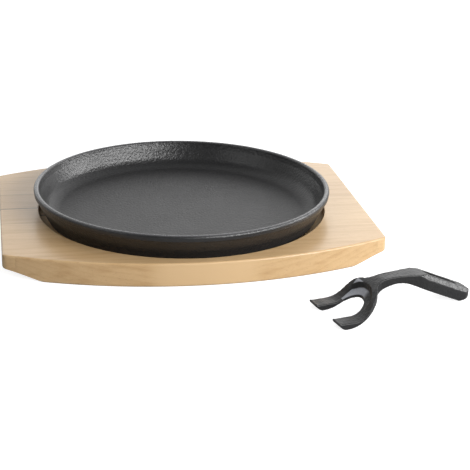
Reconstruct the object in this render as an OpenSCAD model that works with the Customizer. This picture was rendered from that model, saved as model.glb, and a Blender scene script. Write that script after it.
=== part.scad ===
// Serving pan: a round cast-iron pan standing in the recess of a wooden board that is
// edge-glued from staves, with its detachable forked iron gripper lying in front of it.
// Frame: origin on the table under the pan's axis, +X along the board, +Z up, millimetres.

/* [Pan] */
// Outer diameter of the pan over its rim
pan_d = 220; // [180:1:260]
// Height of the pan from its foot to the top of its rim
pan_h = 23; // [18:0.5:40]
// Thickness of the pan's floor
pan_floor_t = 4; // [3:0.25:6]
// Width of the rounded lip, which is also the thickness of the wall
lip_w = 4; // [3:0.25:6]
// Height of the near-upright band below the lip
band_h = 5; // [3:0.5:8]
// How far the band stands out over the leaning wall below it
band_step = 0.6; // [0.2:0.1:1.5]
// Lean of the band from upright, in degrees
band_lean = 4; // [1:0.5:8]
// Lean of the wall from upright, in degrees
wall_lean = 27; // [15:1:35]
// Radius of the cove between the floor and the wall inside
cove_r = 12.5; // [6:0.5:14]
// Radius of the edge around the foot
foot_r = 3; // [1.5:0.25:4]

/* [Board] */
// Wood left between the recess and each straight end of the board
end_land = 28.4; // [20:0.2:50]
// Wood left between the recess and each bowed side, in the middle of the board
side_land = 8.9; // [6:0.1:30]
// How far each bowed side stands out over the board's corners
side_bow = 31; // [15:1:40]
// Thickness of the board
board_t = 17; // [15:0.5:24]
// Radius of the board's four corners, seen from above
corner_r = 6; // [3:0.5:12]
// Radius of the rounding along the board's top and bottom edges
edge_r = 1.4; // [0.8:0.1:2]
// Width of the outermost stave at the front
front_stave_w = 27; // [15:0.5:32]
// Width of the outermost stave at the back
back_stave_w = 15.6; // [12:0.2:32]

/* [Recess] */
// Depth of the round recess that the pan stands in
recess_depth = 6; // [4:0.5:9]
// Gap between the pan's wall and the edge of the recess
recess_gap = 3.7; // [1:0.1:5]
// Radius of the rounding at the top of the recess
recess_edge_r = 1; // [0.5:0.1:1.5]

/* [Finger coves] */
// Length of the cove cut under each end of the board
cove_l = 28; // [20:1:36]
// Height of the cove at the end of the board
cove_h = 7; // [4:0.5:9]
// Slope at which the cove starts to rise, as height over length
cove_start = 0.26; // [0.1:0.02:0.4]
// Slope at which the cove meets the end, as height over length
cove_end = 0.15; // [0:0.05:0.3]

/* [Gripper fork] */
// Width of one prong
prong_w = 10.8; // [8:0.1:12]
// Width of the gap between the prongs
fork_gap = 21.2; // [18:0.2:26]
// Distance from the prong tips to the bottom of the gap between them
fork_reach = 26.8; // [25:0.1:32]
// How far the round of the fork's outside sits nearer the tips than the round of its gap
shoulder_set = 2.6; // [0:0.1:4]
// Thickness of a prong at its tip
tip_t = 1.5; // [1:0.1:3.5]
// Height that the prong tips turn up
tip_lift = 3.1; // [1:0.1:5]
// Thickness of a prong where it lies on the table
prong_t = 4.3; // [3.5:0.1:6]
// Distance from the prong tips to where they touch the table
touch_x = 5.2; // [4:0.1:8]
// Distance from the bottom of the gap to the root, where the prongs have risen off the table
root_set = 3; // [2:0.5:7]
// Height of the fork's underside at the root
root_z = 7.1; // [5:0.1:10]
// Thickness of the fork at the root
root_t = 4.2; // [3.5:0.1:8]
// Distance from the root to the crease across the fork's top
crease_set = 5.7; // [4:0.1:8]
// Height of the crease over the fork's top at the root
crease_h = 7; // [5:0.1:8]
// Width of the sunken seat on each side of the gap
seat_side = 2; // [1:0.1:4]
// Distance from the bottom of the gap to where the seat starts on the prongs
seat_front = 8.5; // [7:0.5:9]
// Length of the sunken seat behind the gap
seat_back = 4; // [2:0.1:7]
// Radius of the seat's bowed back edge
seat_r = 20; // [16:1:40]
// Thickness of iron left under the seat
seat_t = 2.2; // [1.6:0.1:3]
// How much thicker the iron is at the seat's back edge
seat_rise = 2; // [0:0.1:3]

/* [Gripper handle] */
// Length of the gripper
grip_l = 106.6; // [100:0.2:120]
// Width of the neck
neck_w = 10.6; // [9:0.1:15]
// Thickness of the neck at the top of the arch
neck_t = 5; // [3.5:0.1:7]
// Radius of the fillet between the fork's round and the neck
neck_fillet = 7; // [3:0.5:9]
// Distance from the prong tips to the top of the arch
arch_x = 50; // [46:0.5:54]
// Height of the arch's underside above the table
arch_z = 18.4; // [16:0.1:24]
// Distance from the prong tips to where the handle's underside runs straight
grip_x = 61; // [58:0.5:64]
// Distance from the prong tips to where the handle has its full width and its top runs straight
hump_x = 71; // [65:0.5:72]
// Width of the handle
grip_w = 17.2; // [15:0.1:24]
// Thickness of the handle, square to its slope
grip_t = 9.6; // [7:0.1:11]
// Slope of the handle down to the table, in degrees
grip_slope = 24.4; // [20:0.2:27]
// Length of the tail's upturned end
tail_l = 9.8; // [5:0.5:10]
// Thickness left at the very end of the tail
end_t = 1.6; // [1:0.1:3]
// Radius of the handle's end, seen from above
grip_end_r = 7; // [5:0.5:8]
// Width of the bevels along the handle's top edges
bevel_w = 2.6; // [1:0.1:4]
// Depth of the bevels along the handle's top edges
bevel_h = 2.7; // [1:0.1:3.5]
// Width of the hanging slot
slot_w = 5.4; // [4:0.1:8]
// Distance from the start of the handle's straight underside to the slot
slot_start = 9.5; // [6:0.5:12]
// Iron left between the slot and the end of the handle
slot_end = 12.3; // [8:0.1:14]

/* [Gripper place] */
// Place of the prong tips along the board
place_x = 67.4; // [50:0.1:90]
// Clear distance between the board's bowed side and the middle of the gripper's tips
place_gap = 61.6; // [45:0.1:90]
// Turn of the gripper seen from above, in degrees
place_turn = 13.6; // [0:0.1:20]

/* [Hidden] */
$fn = 96;
iron = [0.17, 0.17, 0.18];
woods = [
    [0.86, 0.74, 0.55], [0.89, 0.78, 0.60], [0.84, 0.71, 0.52], [0.90, 0.80, 0.63],
    [0.87, 0.76, 0.58], [0.83, 0.72, 0.54], [0.88, 0.77, 0.60], [0.85, 0.73, 0.55]
];

// Overshoot by which a cutting shape clears the face that it cuts
over = 1;

// Points on an arc about c, from angle a to angle b
function arc(c, r, a, b, n) = [for (i = [0:n]) c + r * [cos(a + (b - a) * i / n), sin(a + (b - a) * i / n)]];

// Cubic curve between two stations [x, z, slope], without its last point
function span(p, q, n) = let (w = q[0] - p[0]) [for (i = [0:n - 1]) let (t = i / n) [
    p[0] + w * t,
    p[1] * (2 * t * t * t - 3 * t * t + 1) + p[2] * w * (t * t * t - 2 * t * t + t)
    + q[1] * (3 * t * t - 2 * t * t * t) + q[2] * w * (t * t * t - t * t)
]];

// Smooth curve through a row of stations, with its last point
function curve(s, n) = concat(
    [for (k = [0:len(s) - 2]) each span(s[k], s[k + 1], n)],
    [[s[len(s) - 1][0], s[len(s) - 1][1]]]
);

// A row of points the other way round
function rev(s) = [for (i = [len(s) - 1:-1:0]) s[i]];

// Radius of the pan's wall outside at height z above its foot
ridge_z = pan_h - band_h;
ridge_r = pan_d / 2 - band_h * tan(band_lean) - band_step;
function wall_r(z) = ridge_r - (ridge_z - z) * tan(wall_lean);

// Radius of the recess, from the pan that stands in it
recess_r = wall_r(recess_depth) + recess_gap;
pan_z = board_t - recess_depth;

// Half of the board's length and of its width, from the recess and the wood left beside it
half_l = recess_r + end_land;
half_w = recess_r + side_land;

// The bowed sides are arcs through the corners and the middle
side_r = (half_l * half_l + side_bow * side_bow) / (2 * side_bow);
side_y = side_r - half_w;

// Section of the pan's wall from the axis outwards, over the lip and back along the inside
function pan_section() = let (
    lip_r = lip_w / 2,
    lip_c = [pan_d / 2 - lip_r, pan_h - lip_r],
    lean = 90 - wall_lean,
    foot_c = [wall_r(0) - foot_r * tan(lean / 2), foot_r],
    in_top = [ridge_r - lip_w, ridge_z],
    in_foot = in_top[0] - (ridge_z - pan_floor_t) * tan(wall_lean),
    cove_c = [in_foot - cove_r * tan(lean / 2), pan_floor_t + cove_r]
) concat(
    [[0, 0]],
    arc(foot_c, foot_r, -90, -wall_lean, 6),
    [[ridge_r, ridge_z], [ridge_r + band_step, ridge_z + band_step]],
    arc(lip_c, lip_r, -band_lean, 180, 12),
    [in_top],
    arc(cove_c, cove_r, -wall_lean, -90, 12),
    [[0, pan_floor_t]]
);

module pan() {
    color(iron)
        translate([0, 0, pan_z])
            rotate_extrude($fn = 180)
                polygon(pan_section());
}

// Section of the board lengthwise: rounded ends with a finger cove cut under each
function half_section() = let (
    edge_x = half_l - edge_r,
    start_angle = atan(cove_end) - 90
) concat(
    curve([[half_l - cove_l, 0, cove_start], [edge_x, cove_h, cove_end]], 14),
    arc([edge_x, cove_h + edge_r], edge_r, start_angle, 0, 4),
    arc([edge_x, board_t - edge_r], edge_r, 0, 90, 4)
);

module board_section() {
    polygon(concat(half_section(), [for (p = rev(half_section())) [-p[0], p[1]]]));
}

// A disc with rounded edges, whose rim is one bowed side of the board
module bowed_disc(side) {
    translate([0, -side * side_y, 0])
        rotate_extrude($fn = 360)
            polygon(concat(
                [[0, 0]],
                arc([side_r - edge_r, edge_r], edge_r, -90, 0, 4),
                arc([side_r - edge_r, board_t - edge_r], edge_r, 0, 90, 4),
                [[0, board_t]]
            ));
}

// What the round corner takes away from the corner where an end meets a bowed side
module corner_cut() {
    c_x = half_l - corner_r;
    c = [c_x, sqrt(pow(side_r - corner_r, 2) - c_x * c_x) - side_y];
    t = [c[0], c[1] + side_y] * side_r / (side_r - corner_r) - [0, side_y];
    beyond = [half_l + over, t[1] + over];
    translate([0, 0, -over])
        linear_extrude(board_t + 2 * over)
            difference() {
                polygon([c, [beyond[0], c[1]], beyond, [t[0], beyond[1]], t]);
                translate(c) circle(r = corner_r, $fn = 64);
            }
}

// Round recess with a rounded upper edge
module recess() {
    translate([0, 0, pan_z])
        rotate_extrude($fn = 180)
            polygon(concat(
                [[0, 0], [recess_r, 0]],
                arc([recess_r + recess_edge_r, recess_depth - recess_edge_r], recess_edge_r, 180, 90, 4),
                [[recess_r + recess_edge_r, recess_depth + over], [0, recess_depth + over]]
            ));
}

module board() {
    difference() {
        intersection() {
            rotate([90, 0, 0])
                translate([0, 0, -2 * half_w])
                    linear_extrude(4 * half_w)
                        board_section();
            bowed_disc(1);
            bowed_disc(-1);
        }
        for (mx = [0, 1], my = [0, 1])
            mirror([mx, 0, 0]) mirror([0, my, 0]) corner_cut();
        recess();
    }
}

// Lower and upper bound of a stave: the outermost two run on past the board's sides
stave_count = len(woods);
stave_w = (2 * half_w - front_stave_w - back_stave_w) / (stave_count - 2);
first_seam = front_stave_w - half_w;
function stave_low(i) = i == 1 ? -half_w - over : first_seam + (i - 2) * stave_w;
function stave_high(i) = i == stave_count ? half_w + over : first_seam + (i - 1) * stave_w;

module stave(i) {
    color(woods[i - 1])
        intersection() {
            board();
            translate([-half_l - over, stave_low(i), -over])
                cube([2 * (half_l + over), stave_high(i) - stave_low(i), board_t + 2 * over]);
        }
}

// Gripper in its own frame: tips at x = 0, axis along x, table at z = 0
fork_r = fork_gap / 2;
fork_c = fork_reach - fork_r;
grip_fall = tan(grip_slope);
grip_rise = grip_t / cos(grip_slope);
tail_x = grip_l - tail_l;
tail_h = grip_rise - tail_l * grip_fall - end_t;

// Height of the handle's underside at x, from the tail end that lies on the table
function grip_under(x) = (tail_x - x) * grip_fall;

// One side of the outline from above: prong, shoulder, fillet, neck, wider handle and round end.
// The flares are the slopes at which the neck widens at the arch and at the hump.
arch_flare = 0.03;
hump_flare = 0.1;
outer_r = fork_r + prong_w;
outer_c = fork_c - shoulder_set;
fillet_y = neck_w / 2 + neck_fillet;
fillet_angle = asin(fillet_y / (outer_r + neck_fillet));
fillet_x = outer_c + (outer_r + neck_fillet) * cos(fillet_angle);
function gripper_edge() = concat(
    [[0, fork_r], [0, outer_r]],
    arc([outer_c, 0], outer_r, 90, fillet_angle, 16),
    arc([fillet_x, fillet_y], neck_fillet, 180 + fillet_angle, 270, 6),
    curve([[arch_x, neck_w / 2, arch_flare], [hump_x, grip_w / 2, hump_flare]], 8),
    arc([grip_l - grip_end_r, grip_w / 2 - grip_end_r], grip_end_r, 90, 0, 10)
);

module gripper_plan() {
    polygon(concat(
        gripper_edge(),
        [for (p = rev(gripper_edge())) [p[0], -p[1]]],
        arc([fork_c, 0], fork_r, -90, 90, 24)
    ));
}

// Side view: prongs that curve down to the table, an arched neck, a straight handle.
// Each station is [distance from the tips, height, slope].
root_x = fork_reach - root_set;
tip_under_slope = -1.1;
tip_over_slope = -0.25;
touch_over_slope = 0.05;
root_under_slope = 0.7;
root_over_slope = 1.5;
crease_in_slope = 1.1;
crease_out_slope = 0.7;
hump_slope = -0.15;
crease_x = root_x + crease_set;
crease_z = root_z + root_t + crease_h;
root_over = [root_x, root_z + root_t, root_over_slope];
side_under = curve([
    [0, tip_lift, tip_under_slope],
    [touch_x, 0, 0],
    [root_x, root_z, root_under_slope],
    [arch_x, arch_z, 0],
    [grip_x, grip_under(grip_x), -grip_fall]
], 8);
prong_over = curve([
    [0, tip_lift + tip_t, tip_over_slope],
    [touch_x, prong_t, touch_over_slope],
    root_over
], 8);
neck_over = curve([
    [crease_x, crease_z, crease_out_slope],
    [arch_x, arch_z + neck_t, 0],
    [hump_x, grip_under(hump_x) + grip_rise, hump_slope]
], 8);
crease_over = span(root_over, [crease_x, crease_z, crease_in_slope], 4);
side_over = concat(prong_over, [for (i = [1:3]) crease_over[i]], neck_over);

module gripper_side() {
    beyond = grip_l + over;
    polygon(concat(
        side_under,
        [for (a = [0:15:90]) [tail_x + tail_l * sin(a), tail_h * (1 - cos(a))]],
        [[beyond, tail_h], [beyond, grip_under(beyond) + grip_rise]],
        rev(side_over)
    ));
}

// Sunken seat round the bottom of the gap, whose floor follows the fork's underside and then steepens
module fork_seat() {
    back_x = fork_reach + seat_back;
    half = fork_r + seat_side;
    above = 2 * (arch_z + neck_t);
    rise = seat_rise / seat_back;
    floor_line = [for (p = side_under) if (p[0] <= arch_x)
        [p[0], p[1] + seat_t + rise * max(0, p[0] - fork_reach)]];
    intersection() {
        translate([back_x - seat_r, 0, 0]) cylinder(r = seat_r, h = above);
        translate([fork_reach - seat_front, -half, 0]) cube([seat_r, 2 * half, above]);
        rotate([90, 0, 0])
            linear_extrude(4 * half, center = true)
                polygon(concat(floor_line, [[arch_x, above], [0, above]]));
    }
}

// Places what it is given on the handle's underside, with x along the slope from the tail
module on_slope() {
    translate([tail_x, 0, 0]) rotate([0, grip_slope, 0]) children();
}

// Bevel along one top edge of the handle, on the side given by s
module grip_bevel(s) {
    edge = grip_w / 2;
    on_slope()
        translate([-grip_l, 0, grip_t])
            rotate([90, 0, 90])
                linear_extrude(2 * grip_l)
                    polygon([
                        [s * (edge - bevel_w), 0],
                        [s * (edge + over), -bevel_h * (bevel_w + over) / bevel_w],
                        [s * (edge + over), bevel_h],
                        [s * (edge - bevel_w), bevel_h]
                    ]);
}

module hanging_slot() {
    start = (grip_x + slot_start - tail_x) / cos(grip_slope);
    stop = (grip_l - slot_end - tail_x) / cos(grip_slope);
    run = stop - start - slot_w;
    depth = 3 * grip_t;
    on_slope()
        translate([start + slot_w / 2, 0, -grip_t])
            union() {
                cylinder(d = slot_w, h = depth, $fn = 48);
                translate([run, 0, 0]) cylinder(d = slot_w, h = depth, $fn = 48);
                translate([0, -slot_w / 2, 0]) cube([run, slot_w, depth]);
            }
}

module gripper() {
    color(iron)
        translate([place_x, -(half_w + place_gap), 0])
            rotate([0, 0, place_turn])
                difference() {
                    intersection() {
                        linear_extrude(2 * (arch_z + neck_t)) gripper_plan();
                        rotate([90, 0, 0])
                            linear_extrude(4 * outer_r, center = true)
                                gripper_side();
                    }
                    fork_seat();
                    grip_bevel(-1);
                    grip_bevel(1);
                    hanging_slot();
                }
}

pan();
gripper();
stave(1);  // board_stave_1
stave(2);  // board_stave_2
stave(3);  // board_stave_3
stave(4);  // board_stave_4
stave(5);  // board_stave_5
stave(6);  // board_stave_6
stave(7);  // board_stave_7
stave(8);  // board_stave_8
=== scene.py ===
"""Looks of a serving set: a cast-iron pan on a board of glued staves, with its forked gripper."""

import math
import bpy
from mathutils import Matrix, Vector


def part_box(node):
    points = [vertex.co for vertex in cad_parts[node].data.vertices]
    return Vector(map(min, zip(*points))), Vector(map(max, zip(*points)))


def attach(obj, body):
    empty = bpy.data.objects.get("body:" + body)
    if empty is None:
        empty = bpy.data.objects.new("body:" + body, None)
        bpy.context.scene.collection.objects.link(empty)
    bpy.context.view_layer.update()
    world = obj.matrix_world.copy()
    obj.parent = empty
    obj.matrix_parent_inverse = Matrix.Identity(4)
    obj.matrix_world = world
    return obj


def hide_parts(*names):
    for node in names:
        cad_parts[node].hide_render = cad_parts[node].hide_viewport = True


bl_info = {
    "name": "Serving Pan",
    "version": (1, 0, 0),
    "blender": (4, 5, 0),
    "location": "3D View > Sidebar > Serving Pan",
    "description": "Casts the pan and its gripper, planes the board and sets them in a pale studio",
    "category": "Add Mesh",
}

from collections import namedtuple

import bmesh
import bpy
import numpy as np
from bpy.props import FloatProperty, FloatVectorProperty, IntProperty, PointerProperty
from mathutils import Matrix, Vector

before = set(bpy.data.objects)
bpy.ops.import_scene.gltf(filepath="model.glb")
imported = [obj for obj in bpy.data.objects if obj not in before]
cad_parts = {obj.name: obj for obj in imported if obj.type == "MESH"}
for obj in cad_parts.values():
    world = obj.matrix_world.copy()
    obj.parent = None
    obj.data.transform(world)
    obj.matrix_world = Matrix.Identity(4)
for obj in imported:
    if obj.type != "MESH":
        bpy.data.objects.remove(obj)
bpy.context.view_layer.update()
PAN_LOW, PAN_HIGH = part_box("pan")
STAVES = sorted(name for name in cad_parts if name.startswith("board_stave_"))
BOARD_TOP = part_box(STAVES[0])[1].z
MM = 0.001
MERGE_DISTANCE = 0.002 * MM

# Lamps round the pan: turn from the right and height in degrees, distance and sides in metres
Lamp = namedtuple("Lamp", "turn height distance width depth")
LAMPS = {
    "key": Lamp(-50, 26, 1.25, 1.25, 0.42),
    "side": Lamp(3, 17, 1.25, 0.6, 0.4),
    "fill": Lamp(-160, 30, 1.25, 0.8, 0.6),
    "window": Lamp(65, 20, 1.9, 1.0, 0.7),
}


# Sizes and colours that a user may change


class PanSizes(bpy.types.PropertyGroup):
    """Section of the pan and the fineness of its surface"""

    floor_thickness: FloatProperty(
        name="Floor", description="Thickness of the floor", default=4 * MM, unit="LENGTH"
    )
    lip_width: FloatProperty(
        name="Lip", description="Width of the rounded lip and of the wall", default=4 * MM, unit="LENGTH"
    )
    band_height: FloatProperty(
        name="Band", description="Height of the near-upright band below the lip", default=5 * MM,
        unit="LENGTH",
    )
    band_step: FloatProperty(
        name="Band Step", description="How far the band stands out over the wall", default=0.6 * MM,
        unit="LENGTH",
    )
    band_lean: FloatProperty(
        name="Band Lean", description="Lean of the band from upright", default=math.radians(4),
        unit="ROTATION",
    )
    wall_lean: FloatProperty(
        name="Wall Lean", description="Lean of the wall from upright", default=math.radians(27),
        unit="ROTATION",
    )
    cove_radius: FloatProperty(
        name="Cove", description="Radius between the floor and the wall inside", default=12.5 * MM,
        unit="LENGTH",
    )
    foot_radius: FloatProperty(
        name="Foot Edge", description="Radius of the edge round the foot", default=3 * MM, unit="LENGTH"
    )
    # The top of the lip is lighter partly as wear and partly as a painted highlight along the rim.
    lip_wear_and_highlight: FloatProperty(
        name="Worn Lip", description="Height over which the top of the lip is rubbed", default=1.2 * MM,
        unit="LENGTH",
    )
    ripple_height: FloatProperty(
        name="Ripple", description="Height of the casting's slow unevenness", default=0.025 * MM,
        unit="LENGTH",
    )
    rows: IntProperty(name="Rows", description="Steps along the section", default=290)
    crowding: FloatProperty(
        name="Crowding", description="How much closer the wall's rows stand", default=5.0
    )
    columns: IntProperty(name="Columns", description="Steps round the pan", default=256)


class GripperSizes(bpy.types.PropertyGroup):
    """Fineness and edge rounding of the gripper's skin; where its edges and seat are painted lighter,
    partly as wear and partly as painted highlight; and where its slot is painted dark as shade
    """

    skin_size: FloatProperty(
        name="Skin", description="Size of the skin's faces", default=0.4 * MM, unit="LENGTH"
    )
    rounding_steps: IntProperty(name="Rounding", description="Passes that round the edges", default=3)
    # Edges lighten with their rounding, partly as wear and partly as painted highlight.
    wear_and_highlight_from: FloatProperty(
        name="Worn From", description="Rounding of an edge at which its wear begins", default=0.03 * MM,
        unit="LENGTH",
    )
    wear_and_highlight_full: FloatProperty(
        name="Worn Full", description="Rounding of an edge at which it is fully worn", default=0.16 * MM,
        unit="LENGTH",
    )
    place: FloatVectorProperty(
        name="Place", description="Where the tips' middle stands", subtype="XYZ",
        default=(0.0674, -0.177136, 0),
    )
    turn: FloatProperty(
        name="Turn", description="Turn about the upright", default=math.radians(13.6), unit="ROTATION"
    )
    gap_end: FloatProperty(
        name="Gap End", description="From the tips to the end of the gap", default=26.8 * MM, unit="LENGTH"
    )
    seat_width: FloatProperty(
        name="Seat Width", description="Width of the sunken seat", default=25.2 * MM, unit="LENGTH"
    )
    seat_front: FloatProperty(
        name="Seat Front", description="From the end of the gap to the seat's front", default=8.5 * MM,
        unit="LENGTH",
    )
    seat_back: FloatProperty(
        name="Seat Back", description="From the end of the gap to the back of the rubbed seat",
        default=3.2 * MM, unit="LENGTH",
    )
    seat_edge: FloatProperty(
        name="Seat Edge", description="Width over which the rubbing ends", default=0.5 * MM, unit="LENGTH"
    )
    # The seat's fade towards the near prong is painted shade.
    near_side_shade_fade: FloatProperty(
        name="Near Fade", description="Width over which the rubbing fades to the near prong",
        default=5 * MM, unit="LENGTH",
    )
    slot_from: FloatProperty(
        name="Slot From", description="From the tips to the slot", default=72.5 * MM, unit="LENGTH"
    )
    slot_length: FloatProperty(
        name="Slot Length", description="Length of the slot, as seen from above", default=23.7 * MM,
        unit="LENGTH",
    )
    slot_width: FloatProperty(
        name="Slot Width", description="Width of the slot", default=5.4 * MM, unit="LENGTH"
    )
    # The slot's soot is painted shade: it darkens the slot and a little over its edges in place of the
    # shade inside it.
    slot_shade_overlap: FloatProperty(
        name="Soot", description="How far the soot covers the slot's edge", default=0.4 * MM, unit="LENGTH"
    )
    slot_shade_end: FloatProperty(
        name="Soot End", description="Distance from the slot's edge at which the soot ends", default=1 * MM,
        unit="LENGTH",
    )
    ripple_height: FloatProperty(
        name="Ripple", description="Height of the casting's slow unevenness", default=0.06 * MM,
        unit="LENGTH",
    )


class BoardSizes(bpy.types.PropertyGroup):
    """Finish of the staves' edges"""

    arris_width: FloatProperty(
        name="Arris", description="Width of the broken edge of a stave", default=0.15 * MM, unit="LENGTH"
    )
    arris_angle: FloatProperty(
        name="Arris Angle", description="Bend from which an edge is broken", default=math.radians(50),
        unit="ROTATION",
    )
    sharp_angle: FloatProperty(
        name="Sharp Angle", description="Bend from which an edge shows sharp", default=math.radians(30),
        unit="ROTATION",
    )
    glue_lines: FloatVectorProperty(
        name="Glue Lines", description="Darkness of each seam, from the front to the back", size=7,
        default=(0.1, 0.06, 0.15, 1.0, 0.35, 0.2, 0.15),
    )


class IronFinish(bpy.types.PropertyGroup):
    """Black seasoned cast iron with the grain of its sand mould"""

    colour: FloatVectorProperty(
        name="Iron", description="Colour of the seasoned iron", subtype="COLOR",
        default=(0.014, 0.014, 0.0145),
    )
    # Lighter colour of the edges: partly wear, partly painted highlight.
    worn_and_highlight_colour: FloatVectorProperty(
        name="Worn", description="Colour of the rubbed edges", subtype="COLOR", default=(0.13, 0.13, 0.135)
    )
    # Bluish light colour of the seat: partly bare iron, partly a painted highlight of the sky.
    bare_and_highlight_colour: FloatVectorProperty(
        name="Bare", description="Colour of the iron where no oil was baked on", subtype="COLOR",
        default=(0.42, 0.435, 0.48),
    )
    # Painted shade: the near-black colour inside the slot stands in for its shade.
    slot_shade_colour: FloatVectorProperty(
        name="Soot", description="Colour inside the slot", subtype="COLOR", default=(0.004, 0.004, 0.004)
    )
    peel_size: FloatProperty(
        name="Peel", description="Size of the skin's coarser dimples", default=1.9 * MM, unit="LENGTH"
    )
    grain_size: FloatProperty(
        name="Grain", description="Size of the sand grains in the skin", default=0.8 * MM, unit="LENGTH"
    )
    grain_height: FloatProperty(
        name="Grain Height", description="Unit of the skin's relief", default=0.05 * MM, unit="LENGTH"
    )
    fine_relief: FloatProperty(name="Fine", description="Height of the fine grain, in units", default=1.05)
    sand_relief: FloatProperty(name="Sand", description="Height of the sand grains, in units", default=0.75)
    blotch_relief: FloatProperty(name="Swell", description="Height of the blotches, in units", default=0.45)
    peel_relief: FloatProperty(name="Dimples", description="Depth of the dimples, in units", default=6.5)
    blotch_size: FloatProperty(
        name="Blotches", description="Size of the blotches of sheen", default=22.2222 * MM, unit="LENGTH"
    )
    roughness: FloatProperty(
        name="Roughness", description="Roughness of the smoothest oil skin", default=0.25
    )
    floor_dulling: FloatProperty(
        name="Dull Floor", description="Further roughness of the floor", default=0.13
    )
    # The slot's painted shade is also made rougher, which dulls its reflection.
    slot_shade_dulling: FloatProperty(name="Dull Soot", description="Further roughness of the soot", default=0.5)
    pan_gloss: FloatProperty(name="Pan Gloss", description="Strength of the oil skin's gloss", default=0.56)
    gripper_gloss: FloatProperty(
        name="Gripper Gloss", description="Strength of the gloss on the gripper", default=0.37
    )


class WoodFinish(bpy.types.PropertyGroup):
    """Pale oiled hardwood, with each stave from its own place in the tree"""

    pale: FloatVectorProperty(
        name="Pale", description="Colour of the early wood", subtype="COLOR", default=(0.645, 0.455, 0.25)
    )
    deep: FloatVectorProperty(
        name="Deep", description="Colour of the late wood", subtype="COLOR", default=(0.51, 0.33, 0.155)
    )
    fleck: FloatVectorProperty(
        name="Fleck", description="Colour of the pores", subtype="COLOR", default=(0.42, 0.27, 0.14)
    )
    glue: FloatVectorProperty(
        name="Glue", description="Colour of the glue lines", subtype="COLOR", default=(0.05, 0.03, 0.02)
    )
    dark_stave: FloatVectorProperty(
        name="Dark Stave", description="Tint of the darkest stave", subtype="COLOR",
        default=(0.90, 0.87, 0.84),
    )
    ring_gap: FloatProperty(
        name="Rings", description="Distance between growth rings", default=3.4 * MM, unit="LENGTH"
    )
    pith_depth: FloatProperty(
        name="Pith", description="Depth of the tree's pith under the table", default=45 * MM, unit="LENGTH"
    )
    pith_step: FloatProperty(
        name="Pith Step", description="How much further aside each next stave's pith lies", default=37 * MM,
        unit="LENGTH",
    )
    ring_sway: FloatVectorProperty(
        name="Sway", description="How far the rings wander across and up", size=2, unit="LENGTH",
        default=(26 * MM, 9 * MM),
    )
    stave_step: FloatVectorProperty(
        name="Stave Step", description="From one stave to the next in the tree", subtype="XYZ",
        unit="LENGTH",
        default=(193 * MM, 71 * MM, 47 * MM),
    )
    late_share: FloatProperty(name="Late Wood", description="How much late wood darkens", default=0.38)
    fibre_share: FloatProperty(name="Fibres", description="How much fibres darken", default=0.7)
    cloud_share: FloatProperty(name="Clouds", description="How much broad clouds darken", default=0.6)
    streak_share: FloatProperty(name="Streaks", description="How much streaks darken", default=0.45)
    pore_share: FloatProperty(name="Pores", description="How much the pores show", default=0.6)
    paleness: FloatProperty(name="Paleness", description="What is taken off the darkening", default=0.46)
    glue_middle: FloatProperty(
        name="Glue", description="Strength of the glue lines in the middle", default=0.55
    )
    glue_fade: FloatProperty(
        name="Glue Fade", description="Length over which the glue lines fade to the right",
        default=300 * MM, unit="LENGTH",
    )
    # Inside this reach the lower faces are matt, and painted pale as painted light against the recess's
    # shade.
    routed_reach: FloatProperty(
        name="Routed", description="Radius inside which lower faces are routed", default=120 * MM,
        unit="LENGTH",
    )
    roughness: FloatProperty(name="Roughness", description="Roughness of the planed wood", default=0.30)
    coat: FloatProperty(name="Oil", description="Weight of the coat of oil", default=0.25)
    coat_roughness: FloatProperty(name="Oil Roughness", description="Roughness of the oil", default=0.18)
    fibre_height: FloatProperty(
        name="Fibre Height", description="Height of the fibres", default=0.03 * MM, unit="LENGTH"
    )


class StudioSettings(bpy.types.PropertyGroup):
    """Camera, lights and floor"""

    camera_place: FloatVectorProperty(
        name="Camera", description="Place of the camera", subtype="XYZ",
        default=(-0.133198, -0.924756, 0.354593),
    )
    camera_yaw: FloatProperty(
        name="Yaw", description="Turn of the view to the right", default=0.1863, unit="ROTATION"
    )
    camera_pitch: FloatProperty(
        name="Pitch", description="Tilt of the view downwards", default=0.3691, unit="ROTATION"
    )
    camera_roll: FloatProperty(
        name="Roll", description="Turn of the view about its axis", default=0.023, unit="ROTATION"
    )
    lens: FloatProperty(name="Lens", description="Focal length in millimetres", default=100.99)
    floor_reach: FloatProperty(
        name="Floor Reach", description="From the middle to the floor's edge", default=4.0, unit="LENGTH"
    )
    floor_colour: FloatVectorProperty(
        name="Floor", description="Colour of the floor", subtype="COLOR", default=(0.38, 0.38, 0.38)
    )
    floor_glow: FloatProperty(
        name="Glow", description="Light of the lit table towards the viewer", default=0.85
    )
    sky_strength: FloatProperty(
        name="Sky", description="Strength of the light from all round", default=0.06
    )
    back_sky: FloatProperty(
        name="Back Sky", description="Further strength of the light from behind", default=1.42
    )
    key_power: FloatProperty(
        name="Key", description="Watts of the lamp in front on the right", default=22.0
    )
    side_power: FloatProperty(name="Side", description="Watts of the lamp on the right", default=9.0)
    fill_power: FloatProperty(name="Fill", description="Watts of the lamp on the left", default=2.3)
    window_power: FloatProperty(
        name="Window", description="Watts of the lamp behind on the right", default=1.8
    )


# Shapes as whole arrays


def arc(centre, radius, start, end, steps):
    """Points centre + radius * (cos a, sin a), for angles a from start to end in degrees."""
    a = np.radians(np.linspace(start, end, steps + 1))
    return np.array(centre) + radius * np.stack([np.cos(a), np.sin(a)], axis=1)


def crowded_steps(points, count, crowding):
    """The same line as count points, which stand closer by the factor crowding where it isn't level."""
    step = np.diff(points, axis=0)
    share = np.where(abs(step[:, 1]) > 0, crowding, 1)
    along = np.concatenate([[0], np.cumsum(np.linalg.norm(step, axis=1) * share)])
    stations = np.linspace(0, along[-1], count)
    return np.stack([np.interp(stations, along, points[:, k]) for k in range(2)], axis=1)


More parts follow.
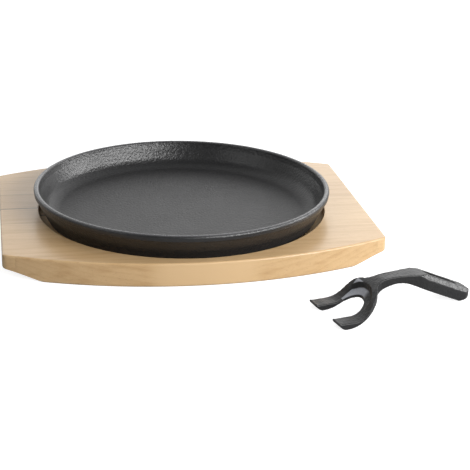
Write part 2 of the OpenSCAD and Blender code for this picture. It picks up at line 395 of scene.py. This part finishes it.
def pan_profile(sizes):
    """Section of the pan from its axis under the floor, out, over the lip and back to the axis inside.
    A point is (distance from the axis, height over the foot)."""
    rim = (PAN_HIGH.x - PAN_LOW.x) / 2
    height = PAN_HIGH.z - PAN_LOW.z
    lean = math.degrees(sizes.wall_lean)
    band_lean = math.degrees(sizes.band_lean)
    half_corner = math.tan(math.radians(90 - lean) / 2)
    ridge_height = height - sizes.band_height
    ridge = rim - sizes.band_height * math.tan(sizes.band_lean) - sizes.band_step
    lip = sizes.lip_width / 2
    foot = ridge - ridge_height * math.tan(sizes.wall_lean)
    inner_top = ridge - sizes.lip_width
    inner_foot = inner_top - (ridge_height - sizes.floor_thickness) * math.tan(sizes.wall_lean)
    foot_centre = (foot - sizes.foot_radius * half_corner, sizes.foot_radius)
    cove_centre = (inner_foot - sizes.cove_radius * half_corner, sizes.floor_thickness + sizes.cove_radius)
    return np.concatenate(
        [
            [(0, 0)],
            arc(foot_centre, sizes.foot_radius, -90, -lean, 8),
            [(ridge, ridge_height), (ridge + sizes.band_step, ridge_height + sizes.band_step)],
            arc((rim - lip, height - lip), lip, -band_lean, 180, 20),
            [(inner_top, ridge_height)],
            arc(cove_centre, sizes.cove_radius, -lean, -90, 16),
            [(0, sizes.floor_thickness)],
        ]
    )


def turned(profile, columns):
    """A profile turned about the Z axis: point (r cos a, r sin a, z) at every row and angle a,
    with the outward normal beside it, which is the profile's direction turned a quarter outwards."""
    a = np.linspace(0, 2 * np.pi, columns, endpoint=False)
    step = np.gradient(profile, axis=0)
    step /= np.linalg.norm(step, axis=1)[:, None]
    r, z = profile[:, 0][:, None], profile[:, 1][:, None]
    out, up = step[:, 1][:, None], -step[:, 0][:, None]
    level = np.ones_like(a)
    points = np.stack([r * np.cos(a), r * np.sin(a), z * level], axis=2)
    normals = np.stack([out * np.cos(a), out * np.sin(a), up * level], axis=2)
    return points, normals


def ripple(points, seed, shortest, longest, waves=28):
    """Slow unevenness, mostly from -1 to 1: the sum of sine waves of random directions, lengths and
    phases, over the square root of their number."""
    rng = np.random.default_rng(seed)
    way = rng.normal(size=(3, waves))
    way /= np.linalg.norm(way, axis=0)
    length = np.exp(rng.uniform(math.log(shortest), math.log(longest), waves))
    phase = rng.uniform(0, 2 * np.pi, waves)
    height = np.sin(points @ (way * 2 * np.pi / length) + phase).sum(axis=-1)
    return height / math.sqrt(waves)


def ease(value, low, high):
    """0 below low, 1 above high, and between them t * t * (3 - 2 t) for t from 0 to 1."""
    t = np.clip((value - low) / (high - low), 0, 1)
    return t * t * (3 - 2 * t)


def ring_faces(rows, columns):
    """Quads between each ring of points and the next, where a ring closes on itself."""
    row, column = np.meshgrid(np.arange(rows - 1), np.arange(columns), indexing="ij")
    here = row * columns + column
    beside = row * columns + (column + 1) % columns
    return np.stack([here, beside, beside + columns, here + columns], axis=2).reshape(-1, 4)


def fan_faces(ring_start, columns, pole, upward):
    """Triangles from a ring of points to its pole."""
    column = np.arange(columns)
    here, beside = ring_start + column, ring_start + (column + 1) % columns
    ends = (here, beside) if upward else (beside, here)
    return np.stack([ends[0], ends[1], np.full(columns, pole)], axis=1)


def rounded(points, edges, steps):
    """Rounds a fine skin: at each step a point goes halfway to the mean of its neighbours."""
    ends = np.concatenate([edges, edges[:, ::-1]])
    count = np.bincount(ends[:, 0], minlength=len(points))[:, None]
    for _ in range(steps):
        total = np.stack(
            [np.bincount(ends[:, 0], points[ends[:, 1], k], len(points)) for k in range(3)], axis=1
        )
        points = (points + total / count) / 2
    return points


# Meshes and pieces


def gathered(items, name, width=3, kind=float):
    """One property of a mesh's points, edges or normals, as an array of that many columns."""
    flat = np.zeros(len(items) * width, kind)
    items.foreach_get(name, flat)
    return flat.reshape(-1, width)


def mark_points(mesh, name, values):
    """Keeps one number per point on a mesh, for its material to read."""
    kept = mesh.attributes.new(name, "FLOAT", "POINT")
    kept.data.foreach_set("value", np.ascontiguousarray(values, np.float32))


def merged_copy(node, name):
    """A copy of a construction node's mesh, with its loose triangles joined."""
    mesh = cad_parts[node].data.copy()
    mesh.name = name
    mesh.materials.clear()
    work = bmesh.new()
    work.from_mesh(mesh)
    bmesh.ops.remove_doubles(work, verts=work.verts, dist=MERGE_DISTANCE)
    work.to_mesh(mesh)
    work.free()
    return mesh


def shown_piece(name, mesh):
    """Puts a mesh into the scene as a smooth piece at the origin."""
    mesh.update()
    mesh.shade_smooth()
    piece = bpy.data.objects.new(name, mesh)
    bpy.context.scene.collection.objects.link(piece)
    return piece


def settled(piece):
    """Gives a piece the mesh that its modifiers make, and drops the modifiers."""
    graph = bpy.context.evaluated_depsgraph_get()
    mesh = bpy.data.meshes.new_from_object(piece.evaluated_get(graph))
    piece.modifiers.clear()
    piece.data = mesh
    return mesh


def dress(piece, material, slot, *nodes):
    """Gives a piece its material and body, and lets it stand for its nodes. The slot is not used."""
    piece.data.materials.append(material)
    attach(piece, "root")
    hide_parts(*nodes)


# Materials


class Value:
    """A socket with one number at each place. Arithmetic on it adds Math nodes."""

    def __init__(self, finish, socket):
        self.finish = finish
        self.socket = socket

    def _math(self, operation, first, second):
        return self.finish.node("ShaderNodeMath", {"operation": operation}, {0: first, 1: second})

    def __add__(self, other):
        return self._math("ADD", self, other)

    def __sub__(self, other):
        return self._math("SUBTRACT", self, other)

    def __rsub__(self, other):
        return self._math("SUBTRACT", other, self)

    def __mul__(self, other):
        return self._math("MULTIPLY", self, other)

    def __truediv__(self, other):
        return self._math("DIVIDE", self, other)

    def __pow__(self, other):
        return self._math("POWER", self, other)

    __radd__ = __add__
    __rmul__ = __mul__


class Nodes:
    """A node tree, and the one way in which nodes are added to it."""

    def __init__(self, tree):
        self.tree = tree

    def node(self, kind, settings=None, sockets=None, output=0):
        """Adds a node of that kind: its settings first, then its sockets' values or links."""
        made = self.tree.nodes.new(kind)
        for name, setting in (settings or {}).items():
            if name == "stops":
                self._stops(made.color_ramp.elements, setting)
            else:
                setattr(made, name, setting)
        for name, value in (sockets or {}).items():
            if isinstance(value, Value):
                self.tree.links.new(value.socket, made.inputs[name])
            else:
                made.inputs[name].default_value = value
        return Value(self, made.outputs[output] if made.outputs else None)

    @staticmethod
    def _stops(elements, stops):
        """Sets a ramp's stops, each a place and a grey."""
        while len(elements) < len(stops):
            elements.new(0.5)
        for element, (place, grey) in zip(elements, stops):
            element.position = place
            element.color = (grey, grey, grey, 1)

    def above(self, value):
        """The value where it is above 0, and otherwise 0."""
        return self.node("ShaderNodeMath", {"operation": "MAXIMUM"}, {0: value, 1: 0.0})


class Finish(Nodes):
    """One material, built from nodes."""

    def __init__(self, name):
        self.material = bpy.data.materials.new(name)
        self.material.use_nodes = True
        super().__init__(self.material.node_tree)
        self.tree.nodes.clear()

    def place_mm(self, stretch=(1, 1, 1)):
        """Object coordinates in millimetres, each axis divided by its stretch."""
        here = self.node("ShaderNodeTexCoord", output="Object")
        scale = [1 / (MM * s) for s in stretch]
        return self.node("ShaderNodeVectorMath", {"operation": "MULTIPLY"}, {0: here, 1: scale})

    def axes_mm(self):
        """The three Object coordinates in millimetres, one value each."""
        here = self.place_mm()
        return [self.node("ShaderNodeSeparateXYZ", sockets={"Vector": here}, output=k) for k in range(3)]

    def shifted(self, vector, shift):
        """A vector with another added to it."""
        return self.node("ShaderNodeVectorMath", {"operation": "ADD"}, {0: vector, 1: shift})

    def noise(self, vector, scale, detail=2.0, roughness=0.5):
        """Soft noise from 0 to 1."""
        return self.node(
            "ShaderNodeTexNoise",
            {"noise_dimensions": "3D"},
            {"Vector": vector, "Scale": scale, "Detail": detail, "Roughness": roughness},
        )

    def grains(self, vector, scale):
        """Distance to the nearest of scattered grains."""
        return self.node("ShaderNodeTexVoronoi", {"feature": "F1"}, {"Vector": vector, "Scale": scale})

    def ramp(self, value, *stops):
        """A curve through stops of (value, result)."""
        return self.node("ShaderNodeValToRGB", {"stops": stops}, {"Fac": value})

    def mark(self, name):
        """A number kept on the mesh's points."""
        return self.node("ShaderNodeAttribute", {"attribute_name": name}, output="Fac")

    def blend(self, share, first, second, way="MIX"):
        """A colour between two others, or for the way MULTIPLY the first tinted by the second."""
        pair = {6: self._colour(first), 7: self._colour(second)}
        settings = {"data_type": "RGBA", "blend_type": way}
        return self.node("ShaderNodeMix", settings, {0: share, **pair}, output=2)

    @staticmethod
    def _colour(colour):
        """A colour with its alpha, or the value that it already is."""
        return colour if isinstance(colour, Value) else (*colour, 1)

    def seam(self, distance, strength):
        """A line along a stave's edge, which fades out over a millimetre."""
        return self.above(1.0 - self.mark(distance)) * self.mark(strength)

    def bump(self, height, distance, strength=1.0):
        """Normals of a surface raised by height times distance."""
        return self.node(
            "ShaderNodeBump", sockets={"Height": height, "Distance": distance, "Strength": strength}
        )

    def surface(self, **sockets):
        """Ends the tree with a Principled shader. A name's underscore stands for a space."""
        named = {name.replace("_", " "): value for name, value in sockets.items()}
        shader = self.node("ShaderNodeBsdfPrincipled", sockets=named)
        self.node("ShaderNodeOutputMaterial", sockets={"Surface": shader})
        return self.material


def seasoned_iron(name, finish, gloss):
    """Cast iron under a baked-on oil skin: sand grain, blotches of sheen, rubbed edges lighter partly as
    wear and partly as painted highlight, a seat lighter partly as bare iron and partly as painted
    highlight, and a slot painted dark as shade.
    """
    iron = Finish(name)
    here = iron.place_mm()
    grain_scale = MM / finish.grain_size
    sand = iron.grains(here, grain_scale)
    fine = iron.noise(here, grain_scale * 1.7, detail=3.0, roughness=0.6)
    blotch = iron.noise(here, MM / finish.blotch_size, detail=4.0, roughness=0.55)
    peel = iron.noise(here, MM / finish.peel_size, detail=1.0)
    skin = fine * finish.fine_relief + (1 - sand) * finish.sand_relief
    swell = blotch * finish.blotch_relief + peel * finish.peel_relief
    # Rubbed edges: lighter partly as wear and partly as painted highlight along the arrises and the lip.
    rubbed_and_highlit = iron.ramp(iron.mark("arris") * (0.5 + fine), (0.3, 0), (0.8, 1))
    # Painted shade in the slot: near-black colour and more roughness over the slot and a little past its
    # edges.
    slot_shade = iron.mark("slot")
    tone = iron.blend(rubbed_and_highlit * 0.55, finish.colour, finish.worn_and_highlight_colour)
    # Seat: lighter partly as bare rubbed iron and partly as a painted highlight on its lit upward faces.
    tone = iron.blend(iron.mark("seat") * (0.35 + fine * 1.1), tone, finish.bare_and_highlight_colour)
    tone = iron.blend(slot_shade, tone, finish.slot_shade_colour)
    sheen = fine * 0.14 + blotch * 0.08 - rubbed_and_highlit * 0.1
    dulled = slot_shade * finish.slot_shade_dulling + iron.mark("floor") * finish.floor_dulling
    return iron.surface(
        Base_Color=tone,
        Roughness=finish.roughness + sheen + dulled,
        Specular_IOR_Level=gloss,
        Normal=iron.bump(skin + swell, finish.grain_height),
    )


def growth_rings(wood, finish, aside, upward, sway):
    """Late wood from 0 to 1: a curve over the share of a ring, where rings are equal steps of the
    distance from a pith that runs along under the board and sways."""
    out = aside + sway * (finish.ring_sway[0] / MM)
    over = upward + finish.pith_depth / MM + sway * (finish.ring_sway[1] / MM)
    rings = (out * out + over * over) ** 0.5 * (MM / finish.ring_gap)
    share = wood.node("ShaderNodeMath", {"operation": "FRACT"}, {0: rings})
    return wood.ramp(share, (0.0, 0.15), (0.55, 0.35), (0.86, 0.9), (1.0, 0.15))


def routed_faces(wood, finish, along, across, upward):
    """1 on the recess's matt faces, which lie inside its reach and below the board's top; they are painted
    pale as painted light against the recess's shade.
    """
    out = (along * along + across * across) ** 0.5 / (2 * finish.routed_reach / MM)
    inside = 1.0 - wood.ramp(out, (0.49, 0), (0.5, 1))
    return wood.ramp(upward / (BOARD_TOP / MM), (0.95, 1), (0.985, 0)) * inside


def pale_hardwood(finish):
    """Sawn hardwood: growth rings about a far pith, fibres, and pores as short flecks along the board."""
    wood = Finish("pale_hardwood")
    along, across, upward = wood.axes_mm()
    stave = wood.mark("stave")
    steps = {axis: stave * (step / MM) for axis, step in zip("XYZ", finish.stave_step)}
    apart = wood.node("ShaderNodeCombineXYZ", sockets=steps)

    def grain(stretch, scale, detail=2.0, roughness=0.5):
        """Noise in the stave's own wood, drawn out along the board by the factor stretch."""
        return wood.noise(wood.shifted(wood.place_mm((stretch, 1, 1)), apart), scale, detail, roughness)

    aside = across + stave * (finish.pith_step / MM)
    late = growth_rings(wood, finish, aside, upward, grain(5, 0.035))
    fibre = grain(22, 1.9, detail=3.0, roughness=0.65)
    cloud = grain(9, 0.06, detail=3.0)
    streak = wood.ramp(grain(16, 0.22), (0.5, 0), (0.68, 1))
    pores = wood.ramp(grain(11, 2.4, detail=1.0), (0.62, 0), (0.74, 1))
    slow = late * finish.late_share + cloud * finish.cloud_share
    quick = fibre * finish.fibre_share + streak * finish.streak_share
    tone = wood.blend(slow + quick - finish.paleness, finish.pale, finish.deep)
    tone = wood.blend(pores * finish.pore_share, tone, finish.fleck)
    routed_and_lightened = routed_faces(wood, finish, along, across, upward)
    # Painted light: the routed faces take the pale colour to lighten the recess's shade.
    tone = wood.blend(routed_and_lightened, tone, finish.pale)
    seam = wood.seam("to_front", "front_glue") + wood.seam("to_back", "back_glue")
    shown = wood.above(finish.glue_middle - along / (finish.glue_fade / MM))
    tone = wood.blend(seam * shown, tone, finish.glue)
    tint = wood.blend(wood.mark("stave_tone"), finish.dark_stave, (1.0, 1.0, 1.0))
    return wood.surface(
        Base_Color=wood.blend(1.0, tone, tint, "MULTIPLY"),
        Roughness=finish.roughness + fibre * 0.12 + routed_and_lightened * 0.3,
        Coat_Weight=finish.coat - routed_and_lightened * finish.coat,
        Coat_Roughness=finish.coat_roughness,
        Normal=wood.bump(fibre - pores * 0.5, finish.fibre_height, 0.5),
    )


# Operators


class SERVING_OT_cast_pan(bpy.types.Operator):
    """Casts the round pan as its section turned about its axis"""

    bl_idname = "serving.cast_pan"
    bl_label = "Cast Pan"

    def execute(self, context):
        sizes = context.scene.pan_sizes
        finish = context.scene.iron_finish
        points = self.cast_surface(sizes)
        columns = sizes.columns
        rings = sizes.rows - 2
        poles = rings * columns
        skin = np.concatenate([points[1:-1].reshape(-1, 3), points[[0, -1], 0]])
        quads = ring_faces(rings, columns)
        fans = np.concatenate(
            [fan_faces(0, columns, poles, False), fan_faces(poles - columns, columns, poles + 1, True)]
        )
        mesh = bpy.data.meshes.new("iron_pan")
        mesh.from_pydata(skin.tolist(), [], quads.tolist() + fans.tolist())
        height = skin[:, 2]
        floor = PAN_LOW.z + sizes.floor_thickness
        # The lip's top is marked for a lighter colour: partly wear, partly painted highlight.
        mark_points(mesh, "arris", ease(height, PAN_HIGH.z - sizes.lip_wear_and_highlight, PAN_HIGH.z))
        mark_points(mesh, "floor", 1 - ease(height, floor, floor + sizes.floor_thickness))
        iron = seasoned_iron("pan_iron_skin", finish, finish.pan_gloss)
        dress(shown_piece("iron_pan", mesh), iron, "pan_iron", "pan")
        return {"FINISHED"}

    def cast_surface(self, sizes):
        """The turned section, raised along its normals by a ripple that spares the foot."""
        profile = crowded_steps(pan_profile(sizes), sizes.rows, sizes.crowding)
        points, normals = turned(profile, sizes.columns)
        clear_of_foot = ease(points[..., 2], sizes.foot_radius * 0.2, sizes.foot_radius)
        wave = ripple(points, seed=11, shortest=9 * MM, longest=60 * MM)
        points += normals * (wave * sizes.ripple_height * clear_of_foot)[..., None]
        points[..., 2] += PAN_LOW.z
        return np.clip(points, PAN_LOW, PAN_HIGH)


class SERVING_OT_cast_gripper(bpy.types.Operator):
    """Casts the forked gripper as a fine skin over its construction, with rounded edges"""

    bl_idname = "serving.cast_gripper"
    bl_label = "Cast Gripper"

    def execute(self, context):
        sizes = context.scene.gripper_sizes
        finish = context.scene.iron_finish
        gripper = shown_piece("iron_gripper", merged_copy("gripper", "iron_gripper"))
        skin = gripper.modifiers.new("Skin", "REMESH")
        skin.mode = "VOXEL"
        skin.voxel_size = sizes.skin_size
        mesh = settled(gripper)
        sharp = gathered(mesh.vertices, "co")
        edges = gathered(mesh.edges, "vertices", 2, np.int64)
        soft = rounded(sharp, edges, sizes.rounding_steps)
        mesh.vertices.foreach_set("co", soft.ravel())
        mesh.update()
        normals = gathered(mesh.vertex_normals, "vector")
        taken_off = ((sharp - soft) * normals).sum(axis=1)
        lift = ripple(soft, seed=5, shortest=5 * MM, longest=25 * MM) * sizes.ripple_height
        soft = np.clip(soft + normals * lift[:, None], *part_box("gripper"))
        mesh.vertices.foreach_set("co", soft.ravel())
        # Rounded-off edges are marked for a lighter colour: partly wear, partly painted highlight.
        mark_points(mesh, "arris", ease(taken_off, sizes.wear_and_highlight_from, sizes.wear_and_highlight_full))
        mark_points(mesh, "seat", self.seat(soft, normals, sizes))
        mark_points(mesh, "slot", self.slot(soft, sizes))
        mesh.shade_smooth()
        iron = seasoned_iron("gripper_iron_skin", finish, finish.gripper_gloss)
        dress(gripper, iron, "gripper_iron", "gripper")
        return {"FINISHED"}

    @staticmethod
    def laid_straight(points, sizes):
        """The distance of each point from the tips, and its distance across from the middle."""
        away = points - np.array(sizes.place)
        c, s = math.cos(sizes.turn), math.sin(sizes.turn)
        return away[:, 0] * c + away[:, 1] * s, away[:, 1] * c - away[:, 0] * s

    def seat(self, points, normals, sizes):
        """1 on the sunken seat's floor: upward faces between its front, its back and its sides, fading out
        towards the near prong. It is lighter partly as bare rubbed iron and partly as a painted highlight,
        with painted shade towards the near prong.
        """
        x, y = self.laid_straight(points, sizes)
        edge = sizes.seat_edge
        front = sizes.gap_end - sizes.seat_front
        back = sizes.gap_end + sizes.seat_back
        far = sizes.seat_width / 2
        lengthwise = ease(x, front, front + edge) * (1 - ease(x, back, back + edge))
        crosswise = ease(y, -sizes.near_side_shade_fade, 0) * (1 - ease(y, far - edge, far))
        return lengthwise * crosswise * ease(normals[:, 2], 0.45, 0.7)

    def slot(self, points, sizes):
        """1 in the hanging slot and a little over its edges, by the distance from its middle line: where
        the slot's shade is painted on.
        """
        x, y = self.laid_straight(points, sizes)
        middle = sizes.slot_from + sizes.slot_length / 2
        straight = (sizes.slot_length - sizes.slot_width) / 2
        away = np.hypot(np.maximum(abs(x - middle) - straight, 0), y)
        edge = sizes.slot_width / 2
        return 1 - ease(away, edge + sizes.slot_shade_overlap, edge + sizes.slot_shade_end)


class SERVING_OT_plane_board(bpy.types.Operator):
    """Planes the board's staves, breaks their edges and gives each its own piece of wood"""

    bl_idname = "serving.plane_board"
    bl_label = "Plane Board"

    def execute(self, context):
        sizes = context.scene.board_sizes
        wood = pale_hardwood(context.scene.wood_finish)
        rng = np.random.default_rng(3)
        glue = (0, *sizes.glue_lines, 0)
        for number, node in enumerate(STAVES, 1):
            stave = self.plane_stave(node, sizes)
            across = gathered(stave.data.vertices, "co")[:, 1]
            low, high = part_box(node)
            marks = {
                "to_front": (across - low.y) / MM,
                "to_back": (high.y - across) / MM,
                "front_glue": glue[number - 1],
                "back_glue": glue[number],
                "stave": number,
                "stave_tone": rng.uniform(0, 1),
            }
            for name, values in marks.items():
                mark_points(stave.data, name, np.broadcast_to(values, across.shape))
            dress(stave, wood, "board_wood", node)
        return {"FINISHED"}

    def plane_stave(self, node, sizes):
        """One stave with broken edges, whose flat faces shade flat."""
        name = node.replace("board_", "wooden_")
        stave = shown_piece(name, merged_copy(node, name))
        arris = stave.modifiers.new("Arris", "BEVEL")
        arris.width = sizes.arris_width
        arris.segments = 2
        arris.limit_method = "ANGLE"
        arris.angle_limit = sizes.arris_angle
        settled(stave).set_sharp_from_angle(angle=sizes.sharp_angle)
        even = stave.modifiers.new("Even", "WEIGHTED_NORMAL")
        even.weight = 100
        even.keep_sharp = True
        settled(stave)
        return stave


class SERVING_OT_set_studio(bpy.types.Operator):
    """Sets the pale floor, the soft lights and the camera"""

    bl_idname = "serving.set_studio"
    bl_label = "Set Studio"

    def execute(self, context):
        studio = context.scene.studio_settings
        self.lay_floor(studio)
        self.light_sky(context.scene, studio)
        for name, lamp in LAMPS.items():
            self.stand_lamp(name, lamp, getattr(studio, name + "_power"))
        self.aim_camera(studio)
        context.scene.view_settings.view_transform = "Standard"
        return {"FINISHED"}

    def lay_floor(self, studio):
        """A level sheet much wider than the view."""
        reach = studio.floor_reach
        corners = [(-reach, -reach, 0), (reach, -reach, 0), (reach, reach, 0), (-reach, reach, 0)]
        mesh = bpy.data.meshes.new("floor")
        mesh.from_pydata(corners, [], [(0, 1, 2, 3)])
        floor = shown_piece("floor", mesh)
        table = Finish("luminous_table")
        seen = table.node("ShaderNodeLightPath", output="Is Camera Ray")
        mesh.materials.append(
            table.surface(
                Base_Color=(*studio.floor_colour, 1),
                Roughness=0.9,
                Emission_Color=table.blend(seen, (0, 0, 0), (1, 1, 1)),
                Emission_Strength=studio.floor_glow,
            )
        )

    def light_sky(self, scene, studio):
        """A soft sky that is bright behind, and plain white where the viewer sees it."""
        scene.world = bpy.data.worlds.new("studio")
        scene.world.use_nodes = True
        sky = Nodes(scene.world.node_tree)
        sky.tree.nodes.clear()
        way = sky.node("ShaderNodeTexCoord", output="Generated")
        back = sky.node("ShaderNodeSeparateXYZ", sockets={"Vector": way}, output=1)
        strength = studio.sky_strength + sky.above(back) * studio.back_sky
        soft = sky.node("ShaderNodeBackground", sockets={"Color": (1, 1, 1, 1), "Strength": strength})
        plain = sky.node("ShaderNodeBackground", sockets={"Color": (1, 1, 1, 1), "Strength": 1.0})
        seen = sky.node("ShaderNodeLightPath", output="Is Camera Ray")
        both = sky.node("ShaderNodeMixShader", sockets={0: seen, 1: soft, 2: plain})
        sky.node("ShaderNodeOutputWorld", sockets={"Surface": both})

    def stand_lamp(self, name, lamp, power):
        """A wide lamp that faces the pan, at its turn and height on a sphere about the pan."""
        light = bpy.data.lights.new(name, "AREA")
        light.shape = "RECTANGLE"
        light.size, light.size_y = lamp.width, lamp.depth
        light.energy = power
        stand = bpy.data.objects.new(name, light)
        a, e = math.radians(lamp.turn), math.radians(lamp.height)
        way = Vector((math.cos(e) * math.cos(a), math.cos(e) * math.sin(a), math.sin(e)))
        stand.location = way * lamp.distance
        stand.rotation_euler = (-stand.location).to_track_quat("-Z", "Y").to_euler()
        bpy.context.scene.collection.objects.link(stand)

    def aim_camera(self, studio):
        """The view looks along yaw and pitch, and is then rolled about that line."""
        yaw, pitch, roll = studio.camera_yaw, studio.camera_pitch, studio.camera_roll
        ahead = Vector(
            (math.sin(yaw) * math.cos(pitch), math.cos(yaw) * math.cos(pitch), -math.sin(pitch))
        )
        level = Vector((math.cos(yaw), -math.sin(yaw), 0))
        above = level.cross(ahead)
        right = math.cos(roll) * level + math.sin(roll) * above
        up = math.cos(roll) * above - math.sin(roll) * level
        turn = Matrix((right, up, -ahead)).transposed()
        data = bpy.data.cameras.new("camera")
        data.sensor_fit = "HORIZONTAL"
        data.sensor_width = 36
        data.lens = studio.lens
        camera = bpy.data.objects.new("camera", data)
        camera.matrix_world = Matrix.Translation(studio.camera_place) @ turn.to_4x4()
        bpy.context.scene.collection.objects.link(camera)
        bpy.context.scene.camera = camera


class SERVING_PT_panel(bpy.types.Panel):
    """Lists the serving set's sizes, finishes and steps"""

    bl_label = "Serving Pan"
    bl_space_type = "VIEW_3D"
    bl_region_type = "UI"
    bl_category = "Serving Pan"

    def draw(self, context):
        for name, group in SETTINGS.items():
            box = self.layout.box()
            box.label(text=name.replace("_", " ").title())
            for key in group.__annotations__:
                box.prop(getattr(context.scene, name), key)
        for step in STEPS:
            self.layout.operator(step.bl_idname)


STEPS = (SERVING_OT_cast_pan, SERVING_OT_cast_gripper, SERVING_OT_plane_board, SERVING_OT_set_studio)
SETTINGS = {
    "pan_sizes": PanSizes,
    "gripper_sizes": GripperSizes,
    "board_sizes": BoardSizes,
    "iron_finish": IronFinish,
    "wood_finish": WoodFinish,
    "studio_settings": StudioSettings,
}


def register():
    """Adds the settings, the operators and the panel."""
    for name, group in SETTINGS.items():
        bpy.utils.register_class(group)
        setattr(bpy.types.Scene, name, PointerProperty(type=group))
    for step in (*STEPS, SERVING_PT_panel):
        bpy.utils.register_class(step)


def unregister():
    """Takes them away again."""
    for step in (SERVING_PT_panel, *reversed(STEPS)):
        bpy.utils.unregister_class(step)
    for name, group in reversed(SETTINGS.items()):
        delattr(bpy.types.Scene, name)
        bpy.utils.unregister_class(group)


def main():
    """Makes every piece, then the studio."""
    register()
    bpy.ops.serving.cast_pan()
    bpy.ops.serving.cast_gripper()
    bpy.ops.serving.plane_board()
    bpy.ops.serving.set_studio()


if __name__ == "__main__":
    main()
